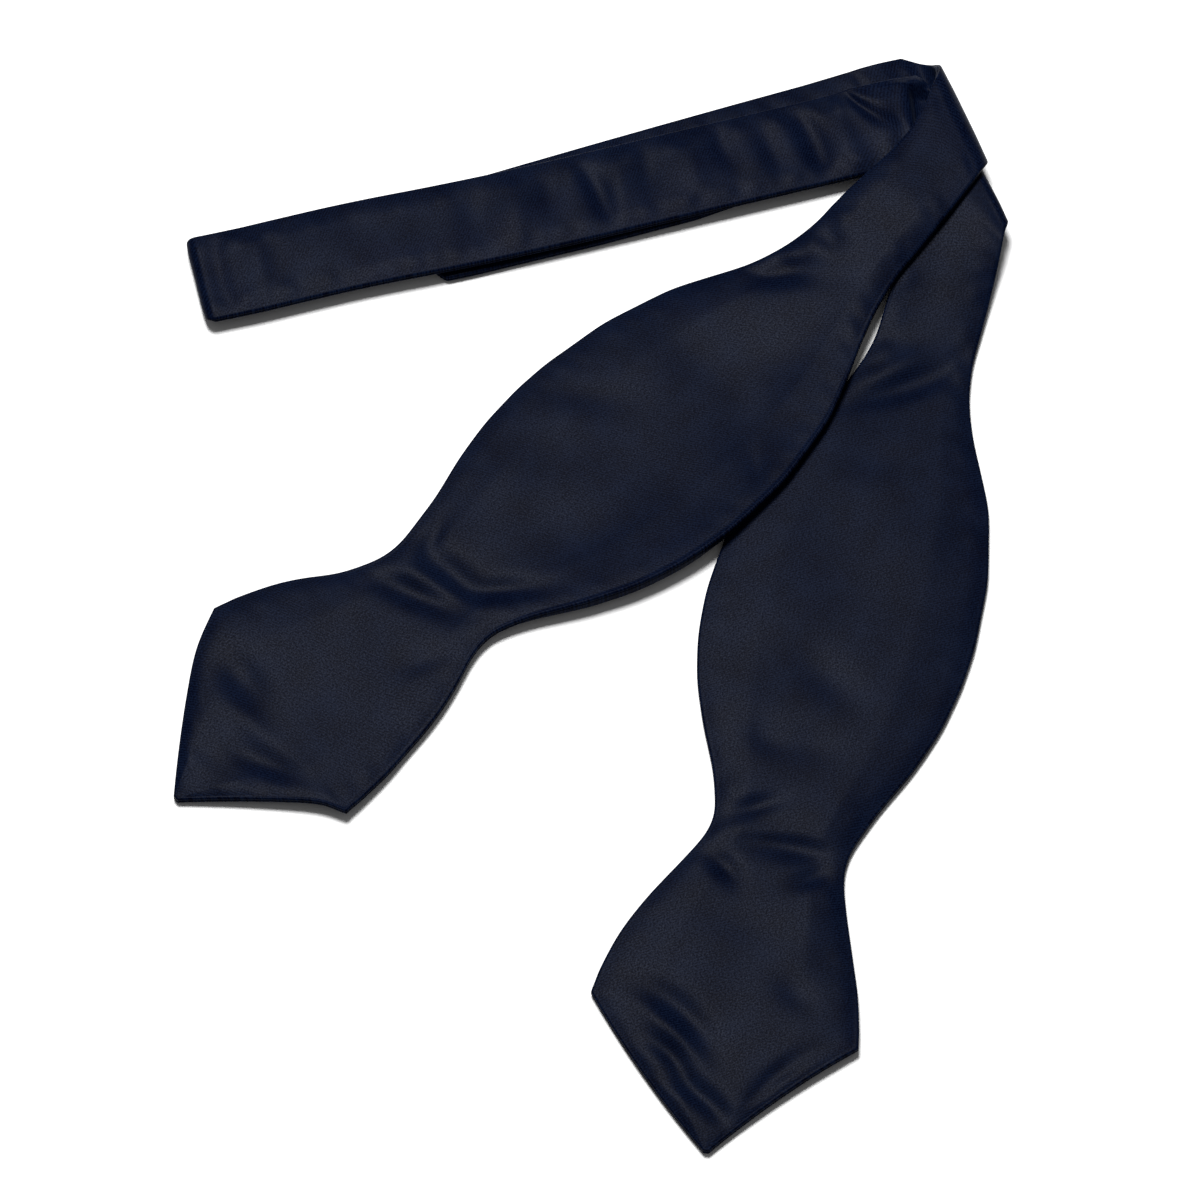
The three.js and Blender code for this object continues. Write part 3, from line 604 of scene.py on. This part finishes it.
def satin_material():
    """Dark navy satin: a fine grain and a diagonal weave, a slight change of tone, and a soft sheen."""
    material = bpy.data.materials.new("navy_satin")
    material.use_nodes = True
    nodes, links = material.node_tree.nodes, material.node_tree.links
    nodes.clear()

    def node(kind, **values):
        made = nodes.new(kind)
        for key, value in values.items():
            if key in made.inputs:
                made.inputs[key].default_value = value
            else:
                setattr(made, key, value)
        return made

    output = node("ShaderNodeOutputMaterial")
    shader = node("ShaderNodeBsdfPrincipled")
    shader.inputs["Specular IOR Level"].default_value = 0.0145
    shader.inputs["Sheen Weight"].default_value = 0.02
    shader.inputs["Sheen Roughness"].default_value = 0.35
    shader.inputs["Sheen Tint"].default_value = (0.55, 0.65, 1.0, 1.0)
    links.new(shader.outputs["BSDF"], output.inputs["Surface"])

    cloth = node("ShaderNodeUVMap", uv_map="cloth")
    mapping = node("ShaderNodeMapping")
    mapping.inputs["Rotation"].default_value = (0, 0, math.radians(32))
    links.new(cloth.outputs["UV"], mapping.inputs["Vector"])

    twill = node("ShaderNodeTexWave", wave_type="BANDS", bands_direction="X")
    twill.inputs["Scale"].default_value = 480.0
    twill.inputs["Distortion"].default_value = 1.2
    twill.inputs["Detail"].default_value = 2.0
    twill.inputs["Detail Scale"].default_value = 1.5
    links.new(mapping.outputs["Vector"], twill.inputs["Vector"])

    grain = node("ShaderNodeTexNoise")
    grain.inputs["Scale"].default_value = 2200.0
    grain.inputs["Detail"].default_value = 3.0
    grain.inputs["Roughness"].default_value = 0.7
    links.new(cloth.outputs["UV"], grain.inputs["Vector"])

    tone = node("ShaderNodeTexNoise")
    tone.inputs["Scale"].default_value = 120.0
    tone.inputs["Detail"].default_value = 3.0
    links.new(cloth.outputs["UV"], tone.inputs["Vector"])

    mix = node("ShaderNodeMath", operation="MULTIPLY_ADD")
    mix.inputs[1].default_value = 1.0
    links.new(grain.outputs["Fac"], mix.inputs[0])
    blend = node("ShaderNodeMath", operation="MULTIPLY_ADD")
    blend.inputs[1].default_value = 0.12
    blend.inputs[2].default_value = 0.0
    links.new(twill.outputs["Fac"], blend.inputs[0])
    links.new(blend.outputs["Value"], mix.inputs[2])
    soft = node("ShaderNodeMath", operation="MULTIPLY_ADD")
    soft.inputs[1].default_value = 0.25
    links.new(tone.outputs["Fac"], soft.inputs[0])
    links.new(mix.outputs["Value"], soft.inputs[2])

    ramp = node("ShaderNodeValToRGB")
    ramp.color_ramp.elements[0].position = 0.6
    ramp.color_ramp.elements[0].color = (0.0001, 0.0006, 0.0045, 1)
    ramp.color_ramp.elements[1].position = 0.8
    ramp.color_ramp.elements[1].color = (0.003, 0.0062, 0.0185, 1)
    links.new(soft.outputs["Value"], ramp.inputs["Fac"])
    links.new(ramp.outputs["Color"], shader.inputs["Base Color"])

    gloss = node("ShaderNodeMapRange")
    gloss.inputs["From Min"].default_value = 0.35
    gloss.inputs["From Max"].default_value = 0.65
    gloss.inputs["To Min"].default_value = 0.47
    gloss.inputs["To Max"].default_value = 0.27
    links.new(grain.outputs["Fac"], gloss.inputs["Value"])
    links.new(gloss.outputs["Result"], shader.inputs["Roughness"])

    bump = node("ShaderNodeBump")
    bump.inputs["Strength"].default_value = 0.5
    bump.inputs["Distance"].default_value = 0.00006
    links.new(mix.outputs["Value"], bump.inputs["Height"])
    links.new(bump.outputs["Normal"], shader.inputs["Normal"])
    return material


def floor_material():
    """Plain white ground with no shine."""
    material = bpy.data.materials.new("pale_ground")
    material.use_nodes = True
    shader = material.node_tree.nodes["Principled BSDF"]
    shader.inputs["Base Color"].default_value = (0.93, 0.93, 0.93, 1)
    shader.inputs["Roughness"].default_value = 0.85
    shader.inputs["Specular IOR Level"].default_value = 0.1
    return material


def add_stage():
    """A plain pale floor, soft light from the upper left, and the camera of the photograph."""
    bpy.ops.mesh.primitive_plane_add(size=6, location=(0, 0, -0.0002))
    floor = bpy.context.object
    floor.name = "floor"
    floor.data.materials.append(floor_material())

    world = bpy.data.worlds.new("studio")
    bpy.context.scene.world = world
    world.use_nodes = True
    world.node_tree.nodes["Background"].inputs["Color"].default_value = (1, 1, 1, 1)
    world.node_tree.nodes["Background"].inputs["Strength"].default_value = 0.15
    bpy.context.scene.view_settings.view_transform = "Standard"

    def area(name, location, size, power):
        light = bpy.data.lights.new(name, "AREA")
        light.shape = "SQUARE"
        light.size = size
        light.energy = power
        lamp = bpy.data.objects.new(name, light)
        bpy.context.scene.collection.objects.link(lamp)
        lamp.location = location
        lamp.rotation_euler = look_at(location, (0, 0, 0))

    area("key", (-0.2, 0.74, 1.9), 0.7, 64)

    camera = bpy.data.cameras.new("camera")
    camera.lens = LENS
    camera.sensor_width = SENSOR
    camera.clip_end = 20
    holder = bpy.data.objects.new("camera", camera)
    bpy.context.scene.collection.objects.link(holder)
    rise = math.radians(CAMERA_ELEVATION)
    target = (SHIFT[0] * MM, SHIFT[1] * MM, 0)
    holder.location = (
        target[0], target[1] - CAMERA_DISTANCE * math.cos(rise), CAMERA_DISTANCE * math.sin(rise),
    )
    holder.rotation_euler = (math.radians(90 - CAMERA_ELEVATION), 0, 0)
    bpy.context.scene.camera = holder


def look_at(location, target):
    """The turn that points a light at a place."""
    return (Vector(target) - Vector(location)).to_track_quat("-Z", "Y").to_euler()


def strip_area(half):
    """The flat area of one ply of a half, in square metres."""
    s = rows_of(half)
    wide = half.wide(s)
    return float(np.sum((wide[1:] + wide[:-1]) * np.diff(s))) * MM * MM


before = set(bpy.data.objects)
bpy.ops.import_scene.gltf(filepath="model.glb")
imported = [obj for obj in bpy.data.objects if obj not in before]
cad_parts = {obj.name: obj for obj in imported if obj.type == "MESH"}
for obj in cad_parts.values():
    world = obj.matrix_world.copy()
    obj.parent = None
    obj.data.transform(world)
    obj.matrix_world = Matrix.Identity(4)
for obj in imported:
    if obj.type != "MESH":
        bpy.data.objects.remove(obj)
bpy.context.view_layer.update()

satin = satin_material()
for data in (UPPER, LOWER):
    half = Half(data)
    for name, side in (("face", -1), ("back", 1)):
        node = data["name"] + "_" + name
        piece = make_ply(half, node + "_satin", side)
        piece.data.materials.append(satin)
        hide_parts(node)
        (rows_of(half)[-1] - rows_of(half)[0]) * MM
        strip_area(half)

add_stage()
